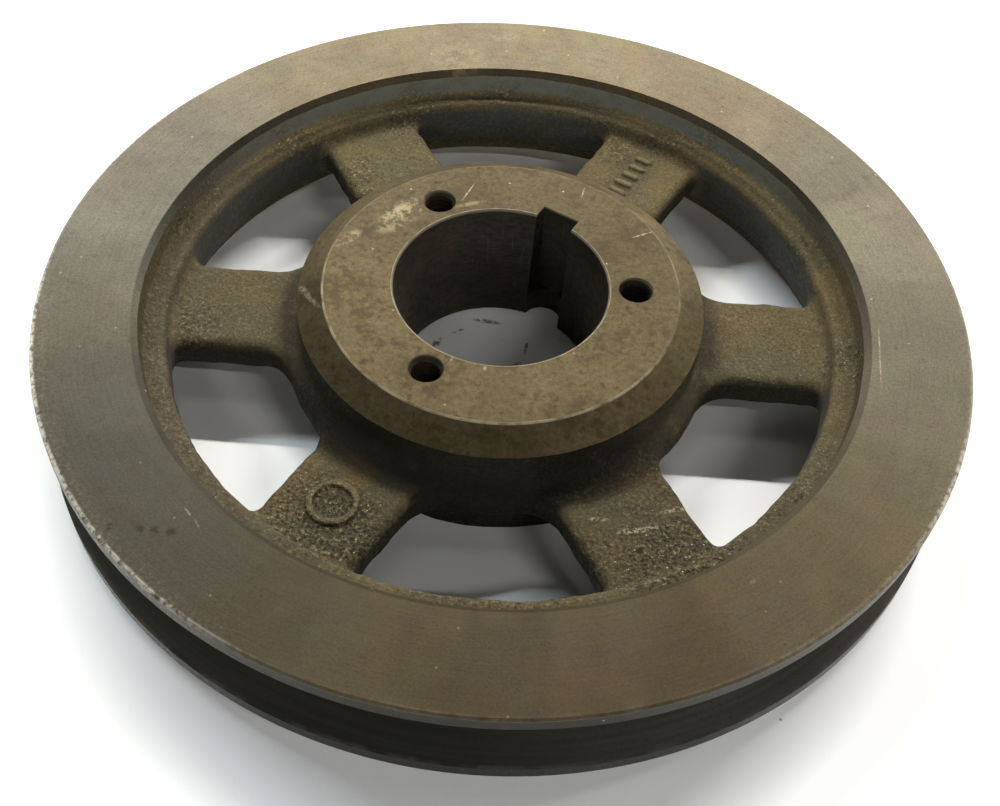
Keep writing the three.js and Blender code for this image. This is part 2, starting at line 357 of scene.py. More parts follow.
def turned(name, profile, slot, steps=TURN_STEPS):
    """A solid turned about Z from closed (radius, z) corners, anticlockwise in (radius, z).

    A radius is one number, or an array with one for each step round the axis.
    """
    angle = np.arange(steps) * 2 * math.pi / steps
    vertices, rings = [], []
    for radius, z in profile:
        start = len(vertices)
        if np.all(radius == 0):
            vertices.append((0, 0, z))
            rings.append([start] * steps)
        else:
            vertices.extend(zip(radius * np.cos(angle), radius * np.sin(angle), [z] * steps))
            rings.append(list(range(start, start + steps)))
    faces = []
    for ring, after in zip(rings, rings[1:] + rings[:1]):
        for i in range(steps):
            j = (i + 1) % steps
            corners = (ring[i], ring[j], after[j], after[i])
            face = list(dict.fromkeys(corners))
            if len(face) > 2:
                faces.append(face)
    return mesh_object(name, vertices, faces, slot)


def block(name, low, high, slot):
    """A box between two corners."""
    (x0, y0, z0), (x1, y1, z1) = low, high
    vertices = [(x0, y0, z0), (x1, y0, z0), (x1, y1, z0), (x0, y1, z0),
                (x0, y0, z1), (x1, y0, z1), (x1, y1, z1), (x0, y1, z1)]
    faces = [(3, 2, 1, 0), (4, 5, 6, 7), (0, 1, 5, 4), (1, 2, 6, 5), (2, 3, 7, 6), (3, 0, 4, 7)]
    return mesh_object(name, vertices, faces, slot)


def thread_tap():
    """A cutter for a tapped hole: a helical V-thread, a drill point and a countersink."""
    top, bottom = HUB_LENGTH, HUB_LENGTH - TAP_DEPTH
    drill_point, countersink, mouth_widening = 1.8, 0.35, 0.25
    plain_mouth, above = 1.0, 3.0
    levels_per_turn = 8
    turn = np.arange(TAP_STEPS) / TAP_STEPS
    profile = [(0, bottom - drill_point)]
    for z in np.arange(bottom, top - plain_mouth, THREAD_PITCH / levels_per_turn):
        phase = (z / THREAD_PITCH - turn) % 1
        height = (THREAD_OUTER_R - THREAD_INNER_R) * (1 - np.abs(2 * phase - 1))
        profile.append((THREAD_INNER_R + height, z))
    profile += [
        (THREAD_OUTER_R, top - countersink),
        (THREAD_OUTER_R + mouth_widening, top + above),
        (0, top + above),
    ]
    return turned("tap", profile, BORE, TAP_STEPS)


def boolean(obj, tool, operation):
    """Cuts the tool out of the object, or limits the object to the tool."""
    modifier = obj.modifiers.new("boolean", "BOOLEAN")
    modifier.operation = operation
    modifier.solver = "MANIFOLD"
    modifier.object = tool
    depsgraph = bpy.context.evaluated_depsgraph_get()
    mesh = bpy.data.meshes.new_from_object(obj.evaluated_get(depsgraph))
    obj.modifiers.clear()
    if not mesh.polygons:
        raise RuntimeError(f"the {tool.name} boolean left nothing of {obj.name}")
    obj.data = mesh
    return obj


def limited_to(obj, name, tool):
    """A new object: the part of obj inside the tool."""
    return boolean(new_object(name, obj.data.copy()), tool, "INTERSECT")


# ---- machining ----

def cut_rim(casting):
    """Side faces, lands and chamfer of the rim, then the belt groove."""
    past_chamfer, past_foot = 4, 6  # how far the cuts go on inside the rim's wall
    far = OUTER_R + STOCK + CLEAR
    high = HUB_LENGTH + STOCK + CLEAR_ABOVE
    inner = RIM_FACE_INNER_R - RIM_FACE_CHAMFER - past_chamfer
    sides = turned("rim_sides", [
        (inner, RIM_TOP - RIM_FACE_CHAMFER - past_chamfer),
        (RIM_FACE_INNER_R, RIM_TOP),
        (OUTER_R - LAND_BREAK, RIM_TOP),
        (OUTER_R, RIM_TOP - LAND_BREAK),
        (OUTER_R, RIM_BOTTOM + LAND_BREAK),
        (OUTER_R - LAND_BREAK, RIM_BOTTOM),
        (RIM_FOOT_INNER_R - past_foot, RIM_BOTTOM),
        (RIM_FOOT_INNER_R - past_foot, -CLEAR_BELOW),
        (far, -CLEAR_BELOW),
        (far, high),
        (inner, high),
    ], TURNED)
    boolean(casting, sides, "DIFFERENCE")
    mouth = GROOVE_MIDDLE - RIM_BOTTOM - LAND
    floor = mouth - GROOVE_DEPTH * GROOVE_SLOPE
    past = mouth + (far - OUTER_R) * GROOVE_SLOPE
    groove = turned("groove", [
        (GROOVE_FLOOR_R, GROOVE_MIDDLE - floor),
        (far, GROOVE_MIDDLE - past),
        (far, GROOVE_MIDDLE + past),
        (GROOVE_FLOOR_R, GROOVE_MIDDLE + floor),
    ], GROOVE)
    boolean(casting, groove, "DIFFERENCE")


def cut_hub_faces(casting):
    """The hub's face and cone, and the foot that it stands on."""
    past_cone = 4
    edge_in, edge_out, edge_down = 0.2, 0.15, 0.2  # bevel between face and cone
    foot_cutter_half, foot_cutter_depth = 60, 9
    high = HUB_LENGTH + STOCK + CLEAR_ABOVE
    slope = (HUB_LENGTH - CONE_FOOT_Z) / (CONE_FOOT_R - HUB_FACE_R)
    reach = CONE_FOOT_R + past_cone
    nose = turned("nose", [
        (0, HUB_LENGTH),
        (HUB_FACE_R - edge_in, HUB_LENGTH),
        (HUB_FACE_R + edge_out, HUB_LENGTH - edge_down),
        (reach, CONE_FOOT_Z - past_cone * slope),
        (reach, high),
        (0, high),
    ], TURNED)
    low_corner = (-foot_cutter_half, -foot_cutter_half, -foot_cutter_depth)
    foot_face = block("foot_face", low_corner, (foot_cutter_half, foot_cutter_half, 0), TURNED)
    for cutter in (nose, foot_face):
        boolean(casting, cutter, "DIFFERENCE")


def bore_radius(z):
    return BORE_TOP_R - (HUB_LENGTH - z) * BORE_TAPER


def cut_bore(casting):
    """The tapered bore with bevelled ends, and the keyway with its rounded lower end."""
    past = 3  # how far the cutters go on past the hub's two faces
    foot_break, top_break = 0.4, 0.35
    top = HUB_LENGTH + past
    bore = turned("bore", [
        (0, -past),
        (bore_radius(0) + past + foot_break, -past),
        (bore_radius(foot_break), foot_break),
        (bore_radius(HUB_LENGTH - top_break), HUB_LENGTH - top_break),
        (BORE_TOP_R + past + top_break, top),
        (0, top),
    ], BORE)
    boolean(casting, bore, "DIFFERENCE")
    half = KEYWAY_WIDTH / 2
    overlap = 1
    exit_top = KEYWAY_EXIT + overlap
    keyway = block("keyway", (0, -half, KEYWAY_EXIT), (KEYWAY_FLOOR_R, half, top), BORE)
    keyway_exit = turned("keyway_exit", [(0, -past), (half, -past), (half, exit_top), (0, exit_top)], BORE)
    keyway_exit.data.transform(Matrix.Translation((KEYWAY_FLOOR_R - half, 0, 0)))
    for cutter in (keyway, keyway_exit):
        cutter.data.transform(Matrix.Rotation(KEYWAY_AZIMUTH + MACHINING_TURN, 4, "Z"))
        boolean(casting, cutter, "DIFFERENCE")


def cut_taps(casting):
    for i in range(TAP_COUNT):
        tap = thread_tap()
        tap.data.transform(Matrix.Translation((BOLT_CIRCLE_R, 0, 0)))
        tap.data.transform(Matrix.Rotation(tap_azimuth(i), 4, "Z"))
        boolean(casting, tap, "DIFFERENCE")


def tap_azimuth(number):
    return number * 2 * math.pi / TAP_COUNT + MACHINING_TURN


# ---- dividing the casting ----

def tube(inner, outer, low=-CLEAR, high=HUB_LENGTH + CLEAR):
    """A cutter that divides the casting: what lies between two radii and two heights."""
    profile = [(inner, low), (outer, low), (outer, high), (inner, high)]
    return turned("cut", profile, TURNED)


def values_of(items, attribute, kind, width=1):
    """One attribute of all of a mesh's faces or corners, as an array."""
    values = np.zeros(len(items) * width, kind)
    items.foreach_get(attribute, values)
    return values.reshape(-1, width) if width > 1 else values


def separated(obj, label):
    """Splits an object into pieces by the whole number that label gives each face's middle."""
    mesh = obj.data
    labels = label(values_of(mesh.polygons, "center", np.float32, 3))
    pieces = {}
    for value in np.unique(labels):
        part = mesh.copy()
        keep_only(part, labels == value)
        pieces[int(value)] = new_object(f"{obj.name}_{value}", part)
    return pieces


def keep_only(mesh, wanted):
    """Removes every face that isn't wanted, with the vertices that only they use."""
    bm = bmesh.new()
    bm.from_mesh(mesh)
    bm.faces.ensure_lookup_table()
    unwanted = [bm.faces[i] for i in np.flatnonzero(~wanted)]
    bmesh.ops.delete(bm, geom=unwanted, context="FACES")
    bm.to_mesh(mesh)
    bm.free()


def divide(casting):
    """The casting's pieces by name, one for each CAD node."""
    pieces = {}
    flanges = limited_to(casting, "flanges", tube(FLANGE_SPLIT_R, OUTER_R + CLEAR))
    halves = separated(flanges, lambda middle: (middle[:, 2] > GROOVE_MIDDLE).astype(int))
    pieces["rim_lower_flange"], pieces["rim_upper_flange"] = halves[0], halves[1]
    pieces["rim_band"] = limited_to(casting, "band", tube(BAND_SPLIT_R, FLANGE_SPLIT_R))
    pieces["web_outer_ring"] = limited_to(casting, "ledge", tube(LEDGE_SPLIT_R, BAND_SPLIT_R))
    spokes = limited_to(casting, "spokes", tube(FLARE_SPLIT_R, LEDGE_SPLIT_R))
    sector = 2 * math.pi / SPOKE_COUNT

    def spoke_number(middle):
        angle = np.arctan2(middle[:, 1], middle[:, 0])
        return np.round(angle / sector).astype(int) % SPOKE_COUNT + 1

    for number, spoke in separated(spokes, spoke_number).items():
        pieces[f"spoke_{number}"] = spoke
    pieces["web_inner_ring"] = limited_to(casting, "flare", tube(HUB_SPLIT_R, FLARE_SPLIT_R))
    heights = (-CLEAR, FOOT_SPLIT_Z, NOSE_SPLIT_Z, HUB_LENGTH + CLEAR)
    for name, low, high in zip(("hub_foot", "hub_barrel", "hub_nose"), heights, heights[1:]):
        pieces[name] = limited_to(casting, name, tube(0, HUB_SPLIT_R, low, high))
    return pieces


def weld(mesh):
    """Makes one of each pair of corners that cutting left almost at the same place."""
    bm = bmesh.new()
    bm.from_mesh(mesh)
    bmesh.ops.remove_doubles(bm, verts=bm.verts, dist=WELD)
    bm.to_mesh(mesh)
    bm.free()


def shade(mesh):
    """Smooth shading, with sharp edges round machined surfaces and along machined corners."""
    edge_of = values_of(mesh.loops, "edge_index", np.int32)
    totals = values_of(mesh.polygons, "loop_total", np.int32)
    face_of = np.repeat(np.arange(len(totals)), totals)
    normals = values_of(mesh.polygons, "normal", np.float32, 3)
    slots = values_of(mesh.polygons, "material_index", np.int32)
    order = np.argsort(edge_of, kind="stable")
    edges, first = np.unique(edge_of[order], return_index=True)
    count = np.diff(np.append(first, len(edge_of)))
    edges, first = edges[count == 2], first[count == 2]
    a = face_of[order[first]]
    b = face_of[order[first + 1]]
    bend = np.einsum("ij,ij->i", normals[a], normals[b])
    both_cast = (slots[a] == CAST) & (slots[b] == CAST)
    sharp = (slots[a] != slots[b]) | (~both_cast & (bend < math.cos(SHARP_BEND)))
    flags = np.zeros(len(mesh.edges), bool)
    flags[edges] = sharp
    attribute = mesh.attributes.get("sharp_edge") or mesh.attributes.new("sharp_edge", "BOOLEAN", "EDGE")
    attribute.data.foreach_set("value", flags)
    mesh.polygons.foreach_set("use_smooth", np.ones(len(mesh.polygons), bool))


# ---- materials ----

# Dirt colour of the skin's pits, also used for painted shade round the neck and at the marks' feet.
CAST_DIRT_AND_SHADE = (0.022, 0.020, 0.015)


class Surface:
    """A material in the making: each method adds a node and gives back its output.

    Places, pitches and relief are in millimetres, in the pulley's own frame.
    """

    def __init__(self, name):
        self.material = bpy.data.materials.new(name)
        self.material.use_nodes = True
        self.nodes = self.material.node_tree.nodes
        self.shader = self.nodes["Principled BSDF"]
        metres = self.add("TexCoord", {}, "Object")
        self.place = self.add("VectorMath", {0: metres, "Scale": 1 / MM}, operation="SCALE")
        self.x, self.y, self.z = (self.add("SeparateXYZ", {0: self.place}, axis) for axis in "XYZ")
        flat = self.add("VectorMath", {0: self.place, 1: (1, 1, 0)}, operation="MULTIPLY")
        self.radius = self.add("VectorMath", {0: flat}, "Value", operation="LENGTH")

    def add(self, kind, inputs, output=0, **settings):
        """A node with its settings, and its inputs given as numbers or as other outputs."""
        node = self.nodes.new("ShaderNode" + kind)
        for name, value in settings.items():
            setattr(node, name, value)
        for name, value in inputs.items():
            if isinstance(value, bpy.types.NodeSocket):
                self.material.node_tree.links.new(value, node.inputs[name])
            else:
                node.inputs[name].default_value = value
        return node.outputs[output]

    def fold(self, operation, values):
        """The values put together from left to right by one kind of sum."""
        result = values[0]
        for value in values[1:]:
            result = self.add("Math", {0: result, 1: value}, operation=operation)
        return result

    def times(self, *values):
        return self.fold("MULTIPLY", values)

    def plus(self, *values):
        return self.fold("ADD", values)

    def most(self, *values):
        return self.fold("MAXIMUM", values)

    def ramp(self, value, start, end, low=0.0, high=1.0):
        """A smooth step from low to high as the value goes from start to end."""
        limits = {"Value": value, "From Min": start, "From Max": end, "To Min": low, "To Max": high}
        return self.add("MapRange", limits, interpolation_type="SMOOTHSTEP")

    def mix(self, factor, first, second):
        """One colour or the other; a bare colour is three numbers."""
        colours = [c if isinstance(c, bpy.types.NodeSocket) else (*c, 1) for c in (first, second)]
        return self.add("Mix", {0: factor, 6: colours[0], 7: colours[1]}, 2, data_type="RGBA")

    def shaded(self, colour, brightness):
        """A colour made darker or lighter."""
        return self.add("VectorMath", {0: colour, "Scale": brightness}, operation="SCALE")

    def toned(self, colour, where, brightness):
        """A colour made that much darker or lighter where the mask is 1."""
        return self.shaded(colour, self.ramp(where, 0, 1, 1.0, brightness))

    def noise(self, pitch, detail=2.0, roughness=0.5, place=None, shift=0.0):
        """Lumps about that far apart, from 0 to 1 and mostly near 0.5."""
        moved = self.add("VectorMath", {0: place or self.place, 1: (shift, shift, shift)}, operation="ADD")
        inputs = {"Vector": moved, "Scale": 1 / pitch, "Detail": detail, "Roughness": roughness}
        return self.add("TexNoise", inputs)

    def around(self, length):
        """A place that goes slowly round the axis, so noise there becomes turning marks."""
        slow = 70 / length
        cosine = self.fold("DIVIDE", (self.x, self.radius))
        sine = self.fold("DIVIDE", (self.y, self.radius))
        across = self.plus(self.radius, self.z)
        return self.add("CombineXYZ", {0: across, 1: self.times(cosine, slow), 2: self.times(sine, slow)})

    def grit(self, pitch, size, share):
        """Round specks in a share of the cells of a loose grid."""
        inputs = {"Vector": self.place, "Scale": 1 / pitch}
        distance = self.add("TexVoronoi", inputs)
        chance = self.add("SeparateColor", {0: self.add("TexVoronoi", inputs, "Color")})
        chosen = self.fold("LESS_THAN", (chance, share))
        return self.times(self.ramp(distance, size, size * 0.5), chosen)

    def spot(self, x, y, length, width, turn=0.0):
        """An oval mark: its middle, half its length and width, and its turn in degrees."""
        inputs = {"Vector": self.place, "Location": (x, y, 0), "Rotation": (0, 0, math.radians(turn)),
                  "Scale": (length, width, 1000)}
        local = self.add("Mapping", inputs, vector_type="TEXTURE")
        reach = self.add("VectorMath", {0: local}, "Value", operation="LENGTH")
        return self.ramp(reach, 1.0, 0.4)

    def edge(self, radius, half_width):
        """A line round the axis at that radius."""
        away = self.fold("SUBTRACT", (self.radius, radius))
        away = self.add("Math", {0: away}, operation="ABSOLUTE")
        return self.ramp(away, half_width, half_width * 0.4)

    def side(self, azimuth, start=0.0, end=1.0):
        """1 towards that azimuth in degrees and 0 away from it."""
        angle = math.radians(azimuth)
        turned_x = self.times(self.x, math.cos(angle))
        turned_y = self.times(self.y, math.sin(angle))
        cosine = self.fold("DIVIDE", (self.plus(turned_x, turned_y), self.radius))
        return self.ramp(cosine, start, end)

    def over_spokes(self):
        """1 over the spokes and 0 over the windows."""
        bands = []
        for number in range(1, SPOKE_COUNT // 2 + 1):
            angle = (number - 1) * 2 * math.pi / SPOKE_COUNT
            across = self.plus(self.times(self.y, math.cos(angle)), self.times(self.x, -math.sin(angle)))
            across = self.add("Math", {0: across}, operation="ABSOLUTE")
            bands.append(self.ramp(across, SPOKE_HALF_WIDTH + 2.5, SPOKE_HALF_WIDTH))
        return self.most(*bands)

    def finished(self, colour, roughness, metallic, relief, specular):
        bump = self.add("Bump", {"Height": relief, "Distance": MM, "Strength": 1.0})
        self.shader.inputs["Specular IOR Level"].default_value = specular
        for name, value in (("Base Color", colour), ("Roughness", roughness),
                            ("Metallic", metallic), ("Normal", bump)):
            if isinstance(value, bpy.types.NodeSocket):
                self.material.node_tree.links.new(value, self.shader.inputs[name])
            else:
                self.shader.inputs[name].default_value = value
        return self.material


def coarse_places(s):
    """Where the sand left a coarse skin: the front spokes, the left of the ledge, some patches."""
    return s.most(
        s.spot(40, -63, 19, 15, 30),
        s.spot(-33, -60, 20, 15, -30),
        s.spot(16, -44, 12, 9, 0),
        s.times(s.edge(80, 3.5), s.side(205, 0.75, 0.95), 0.6),
        s.ramp(s.noise(24, 2, shift=90), 0.53, 0.66, 0, 0.55),
    )


def sand_colours(s, coarse, grain, large_grain, fine):
    """Olive and brown with a little rust, dark pits, light tips of grains, and bright specks that are partly
    grains and partly painted glints.
    """
    olive, brown, ochre = (0.066, 0.056, 0.032), (0.078, 0.060, 0.031), (0.120, 0.080, 0.034)
    grain_tip, bright_grit_and_glint = (0.222, 0.184, 0.108), (0.46, 0.40, 0.27)
    rusty = s.most(s.times(s.ramp(s.noise(22, 3, shift=40), 0.58, 0.74), 0.3),
                   s.times(s.spot(-26, -45, 9, 5, 60), 0.6))
    rough_share = s.plus(s.times(coarse, 0.75), 0.22)
    colour = s.mix(s.ramp(s.noise(16, 3), 0.38, 0.62), olive, brown)
    colour = s.mix(rusty, colour, ochre)
    colour = s.mix(s.times(s.ramp(grain, 0.50, 0.36), rough_share), colour, CAST_DIRT_AND_SHADE)
    colour = s.mix(s.times(s.ramp(large_grain, 0.46, 0.34), coarse, 0.8), colour, CAST_DIRT_AND_SHADE)
    colour = s.mix(s.times(s.ramp(grain, 0.56, 0.68), rough_share, 0.8), colour, grain_tip)
    colour = s.shaded(colour, s.ramp(fine, 0.3, 0.7, 0.76, 1.24))
    # bright specks: partly light grains, partly painted glints
    colour = s.mix(s.times(s.grit(1.3, 0.15, 0.3), s.plus(rough_share, 0.1)), colour, bright_grit_and_glint)
    return s.mix(s.times(s.grit(1.6, 0.22, 0.3), 0.6), colour, CAST_DIRT_AND_SHADE)


def rubs_and_marks(s, colour, grain):
    """Rubs on spoke 6, dust on the left of the ledge, painted shade with some grime round the marks' feet,
    and their tops lighter, partly wear and partly a painted highlight.
    """
    rub_colour, dust, mark_top_light = (0.40, 0.34, 0.22), (0.066, 0.060, 0.044), (0.15, 0.122, 0.070)
    rubs = s.most(s.spot(32, -56, 6.5, 0.9, 15), s.spot(24, -54, 3.0, 0.6, 5),
                  s.spot(40, -50, 4.0, 0.8, 20))
    colour = s.mix(s.times(rubs, s.ramp(grain, 0.44, 0.58), 0.5), colour, rub_colour)
    colour = s.mix(s.times(s.edge(79.5, 3.8), s.side(195, 0.55, 0.9), 0.45), colour, dust)
    marks = s.most(s.spot(MARK_X, MARK_Y, 15, 7, 60), s.spot(-MARK_X, -MARK_Y, 11, 11))
    # painted shade, with some grime, on the spoke round the marks' feet
    hollow_shade = s.times(marks, s.ramp(s.z, SPOKE_TOP + 0.6, SPOKE_TOP + 0.2), 0.25)
    # the marks' tops lighter: partly wear, partly a painted highlight
    tops = s.times(marks, s.ramp(s.z, SPOKE_TOP + 0.5, SPOKE_TOP + 0.8), 0.35)
    colour = s.mix(hollow_shade, colour, CAST_DIRT_AND_SHADE)
    return s.mix(tops, colour, mark_top_light)


def ledge_and_web_painted_light(s, colour):
    """Painted light: a grey reflection on the rim's inner wall at the back, light and shade across the back
    of the ledge's top, and the spokes' tops lighter at the back and darker at the front.
    """
    painted_reflection_grey = (0.090, 0.094, 0.082)
    # painted reflection: the rim's inner wall greyer and lighter at the back
    back_wall = s.times(s.edge(RIM_WALL_R + 0.3, 1.7), s.ramp(s.z, LEDGE_TOP + 0.4, LEDGE_TOP + 1.6),
                        s.side(90, 0.1, 0.8), s.ramp(s.noise(4, 3, shift=25), 0.3, 0.6, 0.45, 0.85))
    colour = s.mix(back_wall, colour, painted_reflection_grey)
    # painted shade on the inner part of the ledge's top at the back, and painted light where the rim's wall
    # shades its outer part
    back_ledge = s.times(s.ramp(s.z, LEDGE_TOP - 0.9, LEDGE_TOP - 0.3), s.ramp(s.radius, 76.5, 77.5),
                         s.side(90, 0.2, 0.8))
    colour = s.toned(colour, s.times(back_ledge, s.ramp(s.radius, 81.6, 79.4)), 0.80)
    colour = s.toned(colour, s.times(back_ledge, s.ramp(s.radius, 79.4, 81.6)), 1.45)
    # painted light on the spokes' tops towards the back, painted shade towards the front
    web_top = s.times(s.ramp(s.z, SPOKE_TOP - 1.5, SPOKE_TOP - 0.5), s.ramp(s.radius, 77, 75),
                      s.ramp(s.radius, 54, 58))
    colour = s.toned(colour, s.times(web_top, s.side(90, 0.3, 0.85)), 1.22)
    return s.toned(colour, s.times(web_top, s.side(285, 0.5, 0.9)), 0.80)


def painted_shade_places(s, colour, grain):
    """Painted shade: in the crease round the neck, in the colour of dirt, under the hub's front, on the
    spokes' sides and on the windows' walls.
    """
    shade_black, window_shade = (0.008, 0.008, 0.006), (0.036, 0.038, 0.035)
    # painted shade in the fillet round the neck, in dirt colour, broken up by noise
    neck = s.times(s.edge(47.5, 6.0), s.ramp(s.noise(5, 2, shift=70), 0.2, 0.5), 0.7)
    colour = s.mix(neck, colour, CAST_DIRT_AND_SHADE)
    # painted shadow under the hub's front and on the spokes' sides
    shadowed_neck = s.times(s.edge(49.3, 8.5), s.side(258, 0.25, 0.9), 0.85)
    spoke_side_shade = s.times(s.ramp(s.z, SPOKE_TOP - 0.3, SPOKE_TOP - 2.6), s.ramp(s.radius, 50, 52),
                         s.ramp(s.radius, 77, 75.5), 0.80)
    colour = s.mix(s.most(shadowed_neck, spoke_side_shade), colour, shade_black)
    # painted shade on the windows' outer walls below the ledge
    ledge_wall = s.times(s.ramp(s.z, LEDGE_TOP - 0.9, LEDGE_TOP - 2.4), s.ramp(s.radius, 75.5, 77),
                         s.ramp(s.radius, 80, 79), s.ramp(s.over_spokes(), 1.0, 0.0),
                         s.ramp(grain, 0.35, 0.6, 0.95, 0.7))
    return s.mix(ledge_wall, colour, window_shade)


def cast_skin():
    """Sand-cast iron: brown and olive, granular, coarse in places, with pits, bright grains and painted
    glints, and painted light and shade in places.
    """
    s = Surface("cast_skin")
    coarse = coarse_places(s)
    grain = s.noise(0.85, 3, 0.65)
    large_grain = s.noise(1.5, 2, 0.6, shift=11)
    fine = s.noise(0.4, 2, 0.6, shift=23)
    colour = sand_colours(s, coarse, grain, large_grain, fine)
    colour = rubs_and_marks(s, colour, grain)
    colour = ledge_and_web_painted_light(s, colour)
    colour = painted_shade_places(s, colour, grain)
    roughness = s.ramp(grain, 0.4, 0.65, 0.92, 0.65)
    grain_height = s.plus(s.times(coarse, 0.55), 0.18)
    relief = s.plus(s.times(grain, grain_height), s.times(large_grain, coarse, 0.5), s.times(fine, 0.09))
    return s.finished(colour, roughness, metallic=0.0, relief=relief, specular=0.2)


def oily_film_and_sheen(s, on_rim):
    """Large soft patches of brown, olive, red and grey, and a painted grey sheen on the rim's left and right.
    """
    brown, olive, reddish = (0.198, 0.150, 0.083), (0.190, 0.155, 0.084), (0.203, 0.142, 0.086)
    grey, pinkish = (0.178, 0.178, 0.143), (0.215, 0.163, 0.112)
    purplish, greenish = (0.165, 0.128, 0.098), (0.168, 0.165, 0.105)
    colour = s.mix(s.ramp(s.noise(17, 3), 0.40, 0.62), olive, brown)
    colour = s.mix(s.ramp(s.noise(24, 2, shift=31), 0.52, 0.68, 0, 0.45), colour, reddish)
    # painted sheen: the rim greyer towards its left and right
    sides = s.times(s.most(s.side(190, 0.25, 0.95), s.times(s.side(10, 0.6, 1.0), 0.6)), on_rim, 0.85)
    grey_patches_and_sheen = s.most(s.ramp(s.noise(30, 3, shift=57), 0.54, 0.72, 0, 0.35), sides)
    colour = s.mix(grey_patches_and_sheen, colour, grey)
    pink_share = s.times(s.ramp(s.noise(38, 2, shift=81), 0.46, 0.60), on_rim, 0.25)
    colour = s.mix(pink_share, colour, pinkish)
    colour = s.mix(s.ramp(s.noise(7, 3, 0.6, shift=62), 0.50, 0.64, 0, 0.30), colour, purplish)
    return s.mix(s.ramp(s.noise(9, 3, 0.6, shift=74), 0.50, 0.64, 0, 0.30), colour, greenish)


def painted_light_patches_and_wedges(s, colour, on_rim):
    """Painted light on sectors of the rim, golden patches on the hub and narrow wedges everywhere."""
    gold = (0.30, 0.25, 0.135)
    # painted light: the rim lighter on its left and right
    side_painted_light = s.times(s.most(s.side(182, 0.94, 0.995), s.side(8, 0.93, 0.99)), on_rim)
    colour = s.toned(colour, side_painted_light, 1.20)
    # painted light on a sector of the rim at the front right
    colour = s.toned(colour, s.times(s.side(326, 0.86, 0.92), on_rim), 1.22)
    golden = s.times(s.most(s.spot(-31, -13, 10, 7, -60), s.spot(12, -32, 9, 5, 10)),
                     s.ramp(s.noise(5, 3, shift=66), 0.38, 0.62), 0.55)
    colour = s.mix(golden, colour, gold)
    almost_round = s.add("VectorMath", {0: s.around(22), 1: (0.02, 1, 1)}, operation="MULTIPLY")
    wedges = s.noise(1.0, 3, 0.7, place=almost_round)
    return s.shaded(colour, s.ramp(wedges, 0.42, 0.58, 0.93, 1.09))


def hub_tones(s, colour):
    """A darker brown hub: painted light on its face towards the front, mottled; painted highlights on two
    parts of the cone.
    """
    hub_brown = (0.137, 0.103, 0.046)
    colour = s.mix(s.ramp(s.radius, 60, 50, 0, 0.55), colour, hub_brown)
    on_face = s.times(s.ramp(s.z, HUB_LENGTH - 0.5, HUB_LENGTH - 0.1), s.ramp(s.radius, 60, 50))
    # painted light: the face lighter towards the front
    colour = s.toned(colour, s.times(on_face, s.side(250, -1.0, 1.0)), 1.42)
    colour = s.toned(colour, on_face, 0.84)
    mottle = s.ramp(s.noise(1.3, 4, 0.7, shift=51), 0.32, 0.66, 0.84, 1.20)
    colour = s.shaded(colour, s.plus(1.0, s.times(s.ramp(s.radius, 55, 50), s.plus(mottle, -1.0))))
    cone = s.times(s.ramp(s.radius, HUB_FACE_R, HUB_FACE_R + 0.6), s.ramp(s.radius, 50, 48))
    # painted highlights on the cone at the front right and, weaker, the back right
    lit_cone = s.times(cone, s.most(s.side(318, 0.75, 0.97), s.times(s.side(45, 0.75, 0.97), 0.5)))
    return s.toned(colour, lit_cone, 1.5)


def oil_stains(s, colour, blots):
    """Oil round the tapped holes and in blots, dark specks, and a row of dabs on the rim."""
    oil, speck, dab = (0.085, 0.060, 0.034), (0.06, 0.045, 0.030), (0.05, 0.035, 0.025)
    taps = [Matrix.Rotation(tap_azimuth(i), 2) @ Vector((BOLT_CIRCLE_R, 0)) for i in range(TAP_COUNT)]
    oily = s.most(*[s.spot(tap.x, tap.y, 9, 7, 20) for tap in taps],
                  s.spot(-31, -10, 9, 5, 100), s.spot(21, -18, 8, 5, 50), s.spot(-14, -32, 6, 3.5, -20),
                  s.times(s.ramp(s.noise(8, 3, shift=33), 0.48, 0.62), s.ramp(s.radius, 50, 45)))
    oily = s.times(oily, s.ramp(s.noise(3.0, 4, 0.65, shift=44), 0.38, 0.60), 0.60)
    colour = s.mix(s.most(blots, oily), colour, oil)
    colour = s.mix(s.times(s.grit(2.6, 0.13, 0.30), 0.45), colour, speck)
    row = s.most(*[s.spot(x, -72, 1.5, 1.2, 30) for x in (-73.3, -67.4, -64.2, -61.0)])
    broken = s.ramp(s.noise(1.2, 3, shift=15), 0.36, 0.5)
    return s.mix(s.times(row, broken, 0.6), colour, dab)


def chalk_places(s):
    """Ragged chalky stains: by the upper left tapped hole, and faint ones at the rim's back."""
    chalky = s.most(s.spot(-24.8, 20.8, 10.5, 4.8, 50), s.spot(-36.7, 11.4, 5.0, 2.0, 46),
                    s.times(s.spot(-16, 88, 9, 11, 5), 0.34), s.times(s.spot(-9, 26.0, 5, 0.9, 20), 0.6),
                    s.times(s.spot(-5, 99, 8, 3, 0), 0.30))
    return s.times(chalky, s.ramp(s.noise(3.4, 5, 0.75, shift=5), 0.44, 0.56), 0.66)


